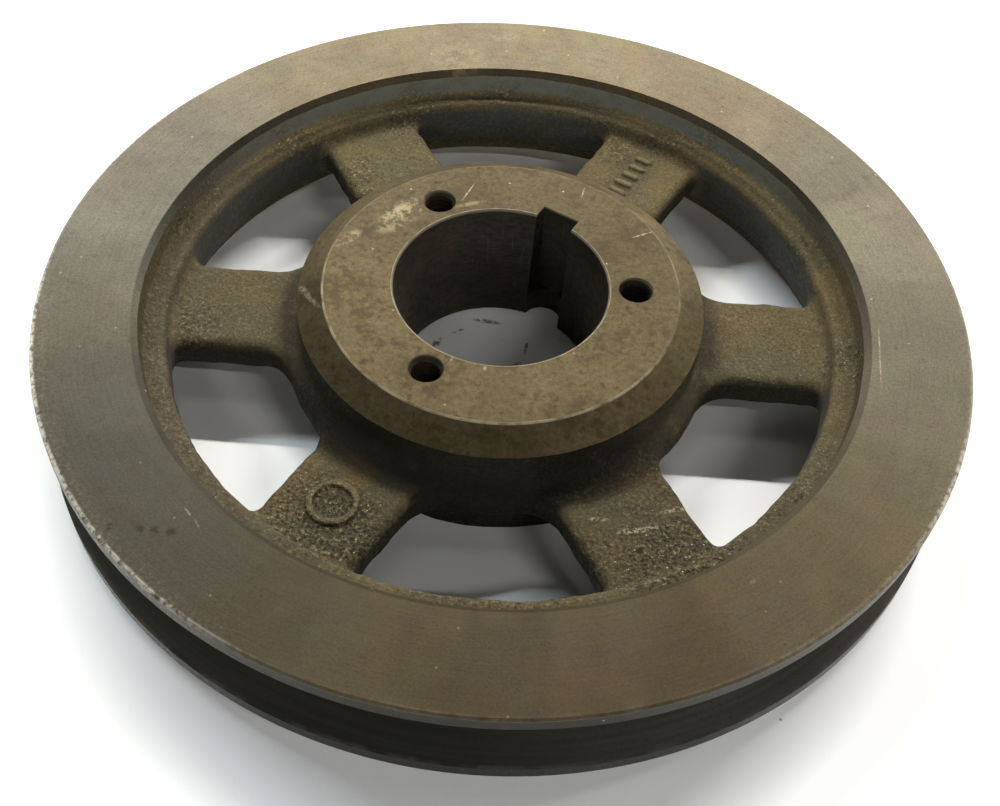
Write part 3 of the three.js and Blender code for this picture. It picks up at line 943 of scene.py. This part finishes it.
def scratch_marks(s):
    scratches = s.most(
        s.spot(-9.5, 30.4, 4.6, 0.28, 68),
        s.spot(18.5, 33.0, 2.6, 0.22, 80),
        s.spot(33.0, 19.5, 4.3, 0.25, 27),
        s.spot(-58.7, -67.0, 1.8, 0.35, -49),
        s.spot(-56.2, -69.8, 1.9, 0.30, -58),
        s.spot(85.0, -12.0, 12.0, 0.25, 84),
        s.spot(-44.6, -4.6, 4.6, 0.9, -58),
        s.spot(-42.0, -8.6, 4.2, 0.7, -52),
        s.spot(-2.1, -25.9, 0.8, 0.5, 80),
        s.spot(-9.4, -24.0, 0.7, 0.4, 60),
        s.spot(52.5, -73.0, 1.0, 0.6, 60),
    )
    return s.times(scratches, s.ramp(s.noise(0.8, 2, shift=3), 0.35, 0.6, 0.15, 0.8))


def darker_chamfer_and_land_shade(s, colour, on_rim):
    """Darker on the rim's inner chamfer at the sides and the back, and painted shade on its lands."""
    darker_sides = s.most(s.times(s.side(180, 0.5, 0.9), 0.5), s.times(s.side(0, 0.5, 0.9), 0.45),
                        s.times(s.side(270, -0.8, -0.2), 0.3))
    darker_chamfer = s.times(s.ramp(s.radius, RIM_FACE_INNER_R + 0.1, RIM_FACE_INNER_R - 0.2),
                           on_rim, darker_sides)
    # painted shade on the rim's outer lands
    land_shade = s.times(s.ramp(s.radius, OUTER_R - 0.35, OUTER_R - 0.1),
                        s.ramp(s.z, RIM_TOP - 0.45, RIM_TOP - 0.75), 0.96)
    return s.mix(s.most(darker_chamfer, land_shade), colour, (0.022, 0.020, 0.014))


def worn_and_highlit_edges(s, colour, scratches):
    """Scratches and scuffs, the rim's chipped outer edge, and a painted highlight on the hub's edges."""
    scuff, chipped, highlight_pale = (0.52, 0.46, 0.33), (0.82, 0.78, 0.66), (0.85, 0.72, 0.46)
    chips = s.ramp(s.noise(1.6, 3, 0.65, shift=17), 0.36, 0.58)
    patchy = s.ramp(s.noise(26, 2, shift=8), 0.42, 0.62, 0.25, 1)
    worn_sides = s.most(s.side(212, 0.78, 0.96), s.times(s.side(325, 0.85, 0.97), patchy, 0.8),
                        s.times(s.side(150, 0.6, 0.95), patchy, 0.6), s.times(patchy, 0.15))
    scuffed = s.times(s.ramp(s.radius, OUTER_R - 6, OUTER_R - 1),
                      s.ramp(s.noise(0.9, 4, 0.7, shift=92), 0.48, 0.62), worn_sides, 0.28)
    nicks = s.times(s.grit(3.4, 0.10, 0.16), 0.8)
    colour = s.mix(s.most(scratches, nicks, scuffed), colour, scuff)
    corner = s.times(s.ramp(s.radius, OUTER_R - 1.15, OUTER_R - 0.6),
                     s.ramp(s.z, RIM_TOP - 0.7, RIM_TOP - 0.3))
    colour = s.mix(s.times(corner, chips, worn_sides), colour, chipped)
    # painted highlight on the edges of the hub's face and bore, strongest towards the front
    face_edge_highlight = s.times(s.edge(HUB_FACE_R, 0.34), s.ramp(s.side(255, -0.1, 0.6), 0, 1, 0.35, 1.6))
    hub_edges_highlight = s.times(s.most(face_edge_highlight, s.edge(BORE_TOP_R + 0.2, 0.38)),
                       s.ramp(s.noise(3, 2, shift=77), 0.3, 0.6, 0.2, 0.6))
    return s.mix(hub_edges_highlight, colour, highlight_pale)


def turned_face():
    """Turned iron under an oily brown film, with worn bright edges, scratches and stains, and painted light,
    shade, sheen and highlights in places.
    """
    s = Surface("turned_face")
    chalk_white, rust_red = (0.52, 0.42, 0.25), (0.26, 0.12, 0.045)
    on_rim = s.ramp(s.radius, 60, 80)
    speckle = s.noise(0.5, 3, 0.65)
    turning = s.noise(0.45, 2, place=s.around(25))
    blots = s.times(s.ramp(s.noise(2.2, 4, 0.6, shift=12), 0.55, 0.70), s.ramp(s.radius, 50, 80, 0.6, 0.20))
    chalk = chalk_places(s)
    scratches = scratch_marks(s)
    rust = s.times(s.spot(34, 27, 8, 3, -50), s.ramp(s.noise(2, 2), 0.4, 0.6), 0.5)

    colour = oily_film_and_sheen(s, on_rim)
    colour = painted_light_patches_and_wedges(s, colour, on_rim)
    colour = s.shaded(colour, s.ramp(speckle, 0.3, 0.7, 0.84, 1.15))
    colour = s.shaded(colour, s.ramp(turning, 0.3, 0.7, 0.94, 1.06))
    colour = hub_tones(s, colour)
    colour = oil_stains(s, colour, blots)
    colour = s.mix(chalk, colour, chalk_white)
    colour = darker_chamfer_and_land_shade(s, colour, on_rim)
    colour = worn_and_highlit_edges(s, colour, scratches)
    colour = s.mix(rust, colour, rust_red)

    roughness = s.plus(s.ramp(speckle, 0.3, 0.7, 0.45, 0.35), s.times(chalk, 0.35), s.times(blots, 0.2),
                       s.ramp(s.radius, 50, 60, 0.05, 0.0))
    metallic = s.plus(0.84, s.times(s.most(chalk, rust), -0.7))
    relief = s.plus(s.times(speckle, 0.018), s.times(turning, 0.014), s.times(chalk, 0.03),
                    s.times(scratches, -0.03))
    return s.finished(colour, roughness, metallic, relief, specular=0.3)


def groove_wall():
    """The belt's track: darker, with long marks round the axis, a few specks of rust, painted light at the
    front right and front left, and a painted highlight near the outer edges.
    """
    s = Surface("groove_wall")
    dark, brownish = (0.066, 0.066, 0.058), (0.074, 0.065, 0.050)
    right_painted_light, left_painted_light = (0.16, 0.155, 0.125), (0.13, 0.13, 0.11)
    rust, lip_light = (0.11, 0.078, 0.042), (0.22, 0.20, 0.16)
    turning = s.noise(0.5, 3, place=s.around(60))
    speckle = s.noise(0.8, 3, 0.6, shift=19)
    # painted highlight along the flanges' outer edges in the groove
    lip_highlight = s.times(s.ramp(s.radius, OUTER_R - 1.0, OUTER_R - 0.2), s.ramp(s.noise(6, 3), 0.4, 0.6), 0.6)
    colour = s.mix(s.ramp(s.noise(11, 3), 0.4, 0.62), dark, brownish)
    # painted light: the groove lighter at the front right and, less, at the front left
    colour = s.mix(s.times(s.side(318, 0.6, 0.98), 0.6), colour, right_painted_light)
    colour = s.mix(s.times(s.side(212, 0.7, 0.98), 0.3), colour, left_painted_light)
    colour = s.shaded(colour, s.ramp(turning, 0.3, 0.7, 0.88, 1.12))
    colour = s.mix(s.ramp(speckle, 0.56, 0.72, 0, 0.6), colour, rust)
    colour = s.mix(lip_highlight, colour, lip_light)
    relief = s.plus(s.times(turning, 0.02), s.times(speckle, 0.02))
    roughness = s.ramp(speckle, 0.3, 0.7, 0.42, 0.62)
    return s.finished(colour, roughness, metallic=0.7, relief=relief, specular=0.3)


def bore_wall():
    """The bore, keyway and threads: dark oil, tool marks, faint upright scratches, and painted shade on one
    side.
    """
    s = Surface("bore_wall")
    dark, brownish = (0.050, 0.044, 0.033), (0.062, 0.050, 0.033)
    scratch, bright_mouth = (0.20, 0.18, 0.14), (0.40, 0.36, 0.26)
    turning = s.noise(0.4, 2, place=s.around(20))
    stretched = s.add("VectorMath", {0: s.place, 1: (1, 1, 0.05)}, operation="MULTIPLY")
    upright = s.noise(0.6, 2, place=stretched)
    mouth = s.times(s.ramp(s.z, HUB_LENGTH - 0.8, HUB_LENGTH - 0.2), 0.5)
    colour = s.mix(s.ramp(s.noise(7, 3), 0.4, 0.62), dark, brownish)
    colour = s.shaded(colour, s.ramp(turning, 0.3, 0.7, 0.8, 1.2))
    colour = s.mix(s.ramp(upright, 0.64, 0.76, 0, 0.35), colour, scratch)
    # painted shade: the bore darker towards azimuth 40 and lighter opposite
    colour = s.shaded(colour, s.ramp(s.side(40, -0.2, 0.8), 0, 1, 1.15, 0.6))
    colour = s.mix(mouth, colour, bright_mouth)
    relief = s.plus(s.times(turning, 0.02), s.times(upright, 0.012))
    roughness = s.ramp(s.noise(1.5, 2), 0.35, 0.65, 0.4, 0.6)
    return s.finished(colour, roughness, metallic=0.6, relief=relief, specular=0.3)


def white_paper():
    """The sheet it lies on: white, a little uneven, with smears and scuffs under the bore."""
    s = Surface("white_paper")
    cool, warm = (0.86, 0.87, 0.88), (0.84, 0.845, 0.85)
    grease, scuff, crumb = (0.30, 0.29, 0.27), (0.12, 0.11, 0.095), (0.05, 0.04, 0.035)
    smear = s.times(s.ramp(s.noise(9, 4, 0.6), 0.56, 0.72), s.ramp(s.radius, 30, 20), 0.3)
    strokes = s.most(
        s.spot(-15.3, 10, 3.4, 1.2, 70),
        s.spot(-3, 19, 5.0, 0.9, -8),
        s.spot(-7, 23.5, 5.5, 0.5, 8),
        s.spot(7.6, 11, 3.4, 0.5, 82),
        s.spot(5.5, 5.2, 1.6, 0.5, 30),
        s.spot(-10, 15, 2.2, 0.5, 30),
    )
    scuffs = s.times(strokes, s.ramp(s.noise(1.2, 3), 0.36, 0.52), 0.85)
    crumbs = s.times(s.grit(9, 0.06, 0.06), s.edge(100, 60), 0.8)
    colour = s.mix(s.ramp(s.noise(60, 2), 0.35, 0.65), cool, warm)
    colour = s.mix(smear, colour, grease)
    colour = s.mix(scuffs, colour, scuff)
    colour = s.mix(crumbs, colour, crumb)
    relief = s.times(s.noise(0.5, 2), 0.02)
    return s.finished(colour, 0.6, metallic=0.0, relief=relief, specular=0.3)


# ---- the scene ----

def make_camera():
    """A phone camera above the front of the pulley."""
    elevation = math.radians(45.7493)
    distance = 2.7988 * OUTER_R * MM
    tilt_x, tilt_y, roll = -0.0408, -0.0768, math.radians(-3.973)  # from looking straight at the rim
    place = Vector((0, -distance * math.cos(elevation), distance * math.sin(elevation)))
    forward = -place.normalized()
    right = Vector((1, 0, 0))
    up = right.cross(forward)
    look = Matrix((right, up, forward))
    turn_y = Matrix(((math.cos(tilt_x), 0, -math.sin(tilt_x)), (0, 1, 0),
                     (math.sin(tilt_x), 0, math.cos(tilt_x))))
    turn_x = Matrix(((1, 0, 0), (0, math.cos(tilt_y), -math.sin(tilt_y)),
                     (0, math.sin(tilt_y), math.cos(tilt_y))))
    turn_roll = Matrix(((math.cos(roll), -math.sin(roll), 0),
                        (math.sin(roll), math.cos(roll), 0), (0, 0, 1)))
    right, up, forward = turn_roll @ turn_x @ turn_y @ look
    camera = new_object("camera", bpy.data.cameras.new("camera"))
    rotation = Matrix((right, up, -forward)).transposed().to_4x4()
    camera.matrix_world = Matrix.Translation(place + Vector((0, 0, RIM_TOP * MM))) @ rotation
    camera.data.sensor_width = 36
    camera.data.lens = 46.19
    camera.data.shift_x = 0.0591
    camera.data.shift_y = -0.01735
    camera.data.clip_start = 0.01
    camera.data.clip_end = 20
    bpy.context.scene.camera = camera


def make_floor():
    mesh = bpy.data.meshes.new("floor")
    half = 4.0
    mesh.from_pydata([(-half, -half, 0), (half, -half, 0), (half, half, 0), (-half, half, 0)],
                     [], [(0, 1, 2, 3)])
    mesh.materials.append(white_paper())
    floor = new_object("floor", mesh)


def add_lamp(name, start, end, height, width, share, colour):
    """A flat lamp facing the pulley.

    start and end are where its two ends hang, as (x, y) in lengths of its own height above
    the sheet, and share is how bright it makes the white sheet.
    """
    first, last = Vector((*start, 1)) * height, Vector((*end, 1)) * height
    middle = (first + last) / 2
    along = (last - first).normalized()
    back = (middle - along * middle.dot(along)).normalized()
    light = bpy.data.lights.new(name, "AREA")
    light.shape = "RECTANGLE"
    light.size = (last - first).length
    light.size_y = width
    sine = height / middle.length
    light.energy = share * math.pi**2 * middle.length_squared / (PAPER_WHITE * sine)
    light.color = colour
    lamp = new_object(name, light)
    turn = Matrix((along, back.cross(along), back)).transposed().to_4x4()
    lamp.matrix_world = Matrix.Translation(middle) @ turn
    return lamp


def make_lights():
    """A workshop at night: ceiling tubes behind the pulley, and weak far lamps in front of it.

    The lamps light the matt surfaces, and one wide bright wall behind shows in the shiny ones.
    """
    warm, neutral, cool = (1.0, 0.96, 0.88), (1.0, 0.98, 0.94), (0.86, 0.95, 1.0)
    wall_white, sky = (1.0, 0.975, 0.95), (0.95, 0.97, 1, 1)
    lamps = [
        add_lamp("tube_left", (-1.12, 0.46), (-0.62, 0.62), CEILING, 0.05, 0.33, cool),
        add_lamp("tube_middle", (-0.66, 0.68), (-0.08, 0.68), CEILING, 0.05, 0.55, warm),
        add_lamp("tube_right", (0.22, 0.68), (0.92, 0.68), CEILING, 0.05, 0.69, neutral),
        add_lamp("tube_far_right", (1.6, 0.66), (2.3, 0.72), CEILING, 0.06, 0.12, warm),
        add_lamp("ceiling", (-0.1, 0.0), (0.35, 0.05), CEILING, 0.3, 0.035, neutral),
        add_lamp("front_right", (0.40, -0.66), (0.85, -0.68), CEILING, 0.05, 0.10, neutral),
        add_lamp("front_middle", (-0.05, -1.1), (0.1, -1.5), CEILING, 0.2, 0.045, neutral),
        add_lamp("front_low_left", (-1.9, -2.9), (-1.2, -2.6), 0.8, 0.3, 0.11, cool),
        add_lamp("front_low_right", (1.1, -2.6), (2.0, -3.0), 0.8, 0.3, 0.10, warm),
    ]
    for lamp in lamps:
        lamp.visible_glossy = False
    wall = add_lamp("back_wall", (-1.75, 2.1), (2.1, 2.1), 1.2, 1.4, 0.39, wall_white)
    wall.visible_diffuse = False
    world = bpy.data.worlds.new("studio")
    world.use_nodes = True
    background = world.node_tree.nodes["Background"]
    background.inputs["Color"].default_value = sky
    background.inputs["Strength"].default_value = 0.03
    bpy.context.scene.world = world
    bpy.context.scene.view_settings.view_transform = "Standard"


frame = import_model()

MATERIALS = [cast_skin(), turned_face(), groove_wall(), bore_wall()]

make_camera()
make_floor()
make_lights()

casting = sand_casting()
for machine in (cut_rim, cut_hub_faces, cut_bore, cut_taps):
    machine(casting)
pieces = divide(casting)
for node, piece in pieces.items():
    piece.name = "iron_" + node
    weld(piece.data)
    piece.data.transform(Matrix.Scale(MM, 4))
    shade(piece.data)
    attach(piece, "root")
    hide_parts(node)
kept = {piece.name for piece in pieces.values()}
for obj in list(bpy.context.scene.objects):
    if obj.type == "MESH" and obj.name not in kept and obj.name not in frame["nodes"] and obj.name != "floor":
        bpy.data.objects.remove(obj)
